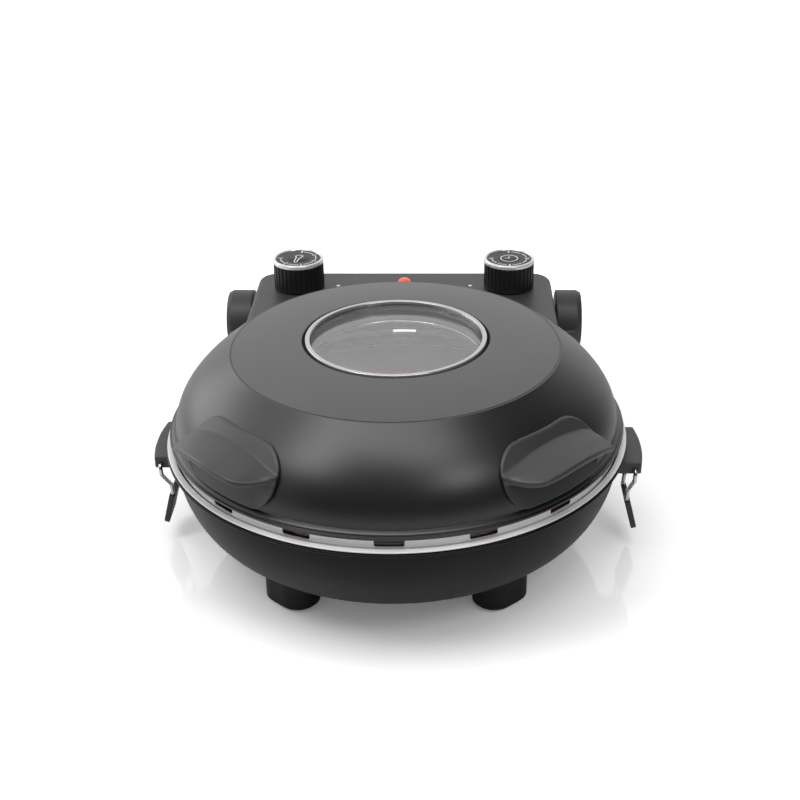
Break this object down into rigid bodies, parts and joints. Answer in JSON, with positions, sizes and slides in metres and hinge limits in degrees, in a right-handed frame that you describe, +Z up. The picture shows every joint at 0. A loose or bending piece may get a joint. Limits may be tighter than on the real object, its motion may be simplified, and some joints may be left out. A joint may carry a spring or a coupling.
{
  "type": "electric pizza maker",
  "caption": "Round countertop pizza cooker with a hinged domed lid, glass window, baking stone, control knobs and side latches",
  "frame": {"origin": "on the counter under the middle of the whole, between the front of the rim and the cord gland", "axes": "+Z up, +Y to the back where the hinge and controls are, +X to the right seen from the front"},
  "size_m": [0.375, 0.3926, 0.1764],
  "materials": {
    "black_enamel": "satin",
    "ring_steel": "polished",
    "gasket": "matt",
    "stone": "matt",
    "sheet_steel": "satin",
    "heater_tube": "satin",
    "foot_plastic": "matt",
    "pad_rubber": "matt",
    "bracket_plastic": "satin",
    "pin_steel": "satin",
    "lid_paint": "satin",
    "disc_paint": "satin",
    "chrome": "polished",
    "window_glass": "clear",
    "handle_plastic": "matt",
    "housing_plastic": "satin",
    "lamp_red": "gloss",
    "knob_plastic": "matt",
    "dial_plastic": "gloss",
    "wire_steel": "polished",
    "lever_plastic": "satin"
  },
  "bodies": {
    "base": {"bowl_shell": "black_enamel", "rim_gasket": "gasket", "tray_ring": "ring_steel", "stone": "stone", "reflector_pan": "sheet_steel", "pan_spacers": "sheet_steel", "lower_heater": "heater_tube", "lower_heater_clips": "sheet_steel", "foot_front_left": "foot_plastic", "foot_front_right": "foot_plastic", "foot_rear_left": "foot_plastic", "foot_rear_right": "foot_plastic", "foot_pads": "pad_rubber", "latch_bracket_left": "bracket_plastic", "latch_bracket_right": "bracket_plastic", "hinge_bracket_left": "bracket_plastic", "hinge_bracket_right": "bracket_plastic", "hinge_pin_left": "pin_steel", "hinge_pin_right": "pin_steel"},
    "lid": {"lid_shell": "lid_paint", "lid_disc": "disc_paint", "window_bezel": "chrome", "window_glass": "window_glass", "window_collar": "sheet_steel", "reflector_skirt": "sheet_steel", "lid_reflector": "sheet_steel", "upper_heater": "heater_tube", "upper_heater_clips": "sheet_steel", "handle_left": "handle_plastic", "handle_right": "handle_plastic", "control_housing": "housing_plastic", "control_floor": "housing_plastic", "pilot_lamp": "lamp_red", "cord_gland": "pad_rubber"},
    "latch_left": {"latch_left_wire": "wire_steel", "latch_left_lever": "lever_plastic"},
    "latch_right": {"latch_right_wire": "wire_steel", "latch_right_lever": "lever_plastic"},
    "knob_left": {"knob_left_body": "knob_plastic", "knob_left_bezel": "chrome", "knob_left_dial": "dial_plastic", "knob_left_shaft": "pin_steel"},
    "knob_right": {"knob_right_body": "knob_plastic", "knob_right_bezel": "chrome", "knob_right_dial": "dial_plastic", "knob_right_shaft": "pin_steel"}
  },
  "joints": [
    {"name": "lid_hinge", "type": "hinge", "parent": "base", "child": "lid", "pos_m": [0, 0.16525, 0.107], "axis": [-1, 0, 0], "range_deg": [0, 100]},
    {"name": "thermostat_turn", "type": "hinge", "parent": "lid", "child": "knob_left", "pos_m": [-0.091, 0.15725, 0.1433], "axis": [0, 0, -1], "range_deg": [0, 270]},
    {"name": "timer_turn", "type": "hinge", "parent": "lid", "child": "knob_right", "pos_m": [0.091, 0.15725, 0.1433], "axis": [0, 0, -1], "range_deg": [0, 300]},
    {"name": "latch_right_swing", "type": "hinge", "parent": "base", "child": "latch_right", "pos_m": [0.18, -0.02525, 0.08], "axis": [0, -1, 0], "range_deg": [0, 190]},
    {"name": "latch_left_swing", "type": "hinge", "parent": "base", "child": "latch_left", "pos_m": [-0.18, -0.01625, 0.08], "axis": [0, 1, 0], "range_deg": [0, 190]}
  ]
}
